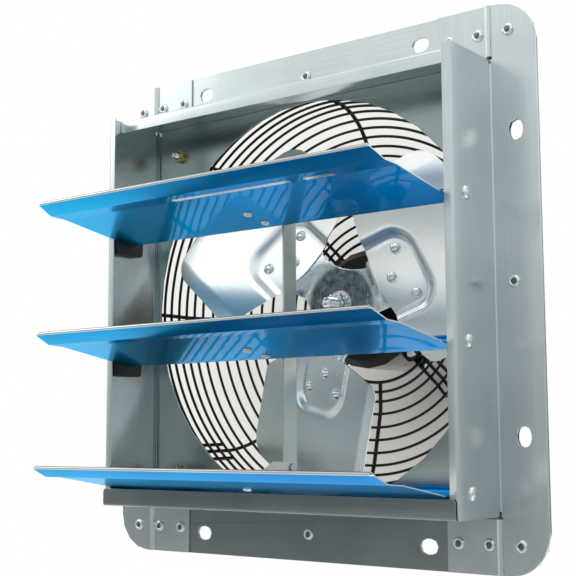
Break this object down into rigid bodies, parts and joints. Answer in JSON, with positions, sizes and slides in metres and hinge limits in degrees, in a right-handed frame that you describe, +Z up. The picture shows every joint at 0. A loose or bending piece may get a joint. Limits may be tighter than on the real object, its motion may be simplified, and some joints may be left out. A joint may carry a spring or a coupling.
{
  "type": "shutter exhaust fan",
  "caption": "Square galvanised wall exhaust fan with linked louvers that swing shut in front, a bladed rotor behind them and a motor held in a black wire guard.",
  "frame": {"origin": "middle of the square wall flange, in the plane of its front face", "axes": "+Y along the fan's axis from the louvers to the motor, +Z up, +X to the right seen from the louvers"},
  "size_m": [0.4, 0.2961, 0.4],
  "materials": {
    "zinc_sheet": "satin galvanised",
    "zinc_panel": "satin galvanised, darker",
    "film_aluminium": "bare above, glossy blue protective film below",
    "aluminium": "bright rolled sheet",
    "spangled_zinc": "dark spangled galvanised",
    "bright_zinc": "bright zinc plated",
    "brass_zinc": "yellow passivated",
    "black_paint": "satin black",
    "black_plastic": "matte",
    "steel": "machined",
    "copper": "enamelled copper wire"
  },
  "bodies": {
    "fan_frame": {"orifice_panel": "zinc_panel", "side_channel_right": "zinc_sheet", "side_channel_left": "zinc_sheet", "top_channel": "zinc_sheet", "bottom_channel": "zinc_sheet", "pivot_block_left_top": "black_plastic", "pivot_block_left_middle": "black_plastic", "pivot_block_left_bottom": "black_plastic", "pivot_block_right_top": "black_plastic", "pivot_block_right_middle": "black_plastic", "pivot_block_right_bottom": "black_plastic", "pivot_pin_left_top": "bright_zinc", "pivot_pin_left_middle": "bright_zinc", "pivot_pin_left_bottom": "bright_zinc", "pivot_pin_right_top": "bright_zinc", "pivot_pin_right_middle": "bright_zinc", "pivot_pin_right_bottom": "bright_zinc", "motor_front_bell": "black_paint", "motor_back_bell": "black_paint", "stator_core": "steel", "winding_front": "copper", "winding_back": "copper", "bearing_front": "steel", "bearing_back": "steel", "motor_clamp_lower_left": "bright_zinc", "motor_clamp_upper_left": "bright_zinc", "motor_clamp_lower_right": "bright_zinc", "motor_clamp_upper_right": "bright_zinc", "wire_guard": "black_paint", "guard_arm_lower_left": "black_paint", "guard_arm_upper_left": "black_paint", "guard_arm_lower_right": "black_paint", "guard_arm_upper_right": "black_paint", "guard_bolt_lower_left": "bright_zinc", "guard_bolt_upper_left": "bright_zinc", "guard_bolt_lower_right": "bright_zinc", "guard_bolt_upper_right": "bright_zinc", "guard_nut_lower_left": "brass_zinc", "guard_nut_upper_left": "brass_zinc", "guard_nut_lower_right": "brass_zinc", "guard_nut_upper_right": "brass_zinc"},
    "rotor": {"fan_blade_1": "aluminium", "fan_blade_2": "aluminium", "fan_blade_3": "aluminium", "hub_plate": "spangled_zinc", "motor_shaft": "steel", "hub_washer": "bright_zinc", "hub_nut": "bright_zinc", "hub_collar": "steel", "rotor_core": "steel"},
    "top_louver": {"louver_top": "film_aluminium", "bracket_top": "aluminium"},
    "middle_louver": {"louver_middle": "film_aluminium", "bracket_middle": "aluminium"},
    "bottom_louver": {"louver_bottom": "film_aluminium", "bracket_bottom": "aluminium"},
    "link_bar": {"tie_bar": "zinc_sheet"}
  },
  "joints": [
    {"name": "middle_louver_pivot", "type": "hinge", "parent": "fan_frame", "child": "middle_louver", "pos_m": [0, -0.0375, -0.0427], "axis": [-1, 0, 0], "range_deg": [0, 76]},
    {"name": "top_louver_pivot", "type": "hinge", "parent": "fan_frame", "child": "top_louver", "pos_m": [0, -0.0375, 0.0582], "axis": [-1, 0, 0], "range_deg": [0, 76]},
    {"name": "bottom_louver_pivot", "type": "hinge", "parent": "fan_frame", "child": "bottom_louver", "pos_m": [0, -0.0375, -0.1436], "axis": [-1, 0, 0], "range_deg": [0, 76]},
    {"name": "link_bar_pivot", "type": "hinge", "parent": "middle_louver", "child": "link_bar", "pos_m": [0, -0.024, -0.0282], "axis": [-1, 0, 0], "range_deg": [-76, 0]},
    {"name": "rotor_spin", "type": "hinge", "parent": "fan_frame", "child": "rotor", "pos_m": [0, 0, 0], "axis": [0, 1, 0], "continuous": true}
  ],
  "couplings": [
    {"joint": "top_louver_pivot", "follows": "middle_louver_pivot", "ratio": 1},
    {"joint": "bottom_louver_pivot", "follows": "middle_louver_pivot", "ratio": 1},
    {"joint": "link_bar_pivot", "follows": "middle_louver_pivot", "ratio": -1}
  ]
}
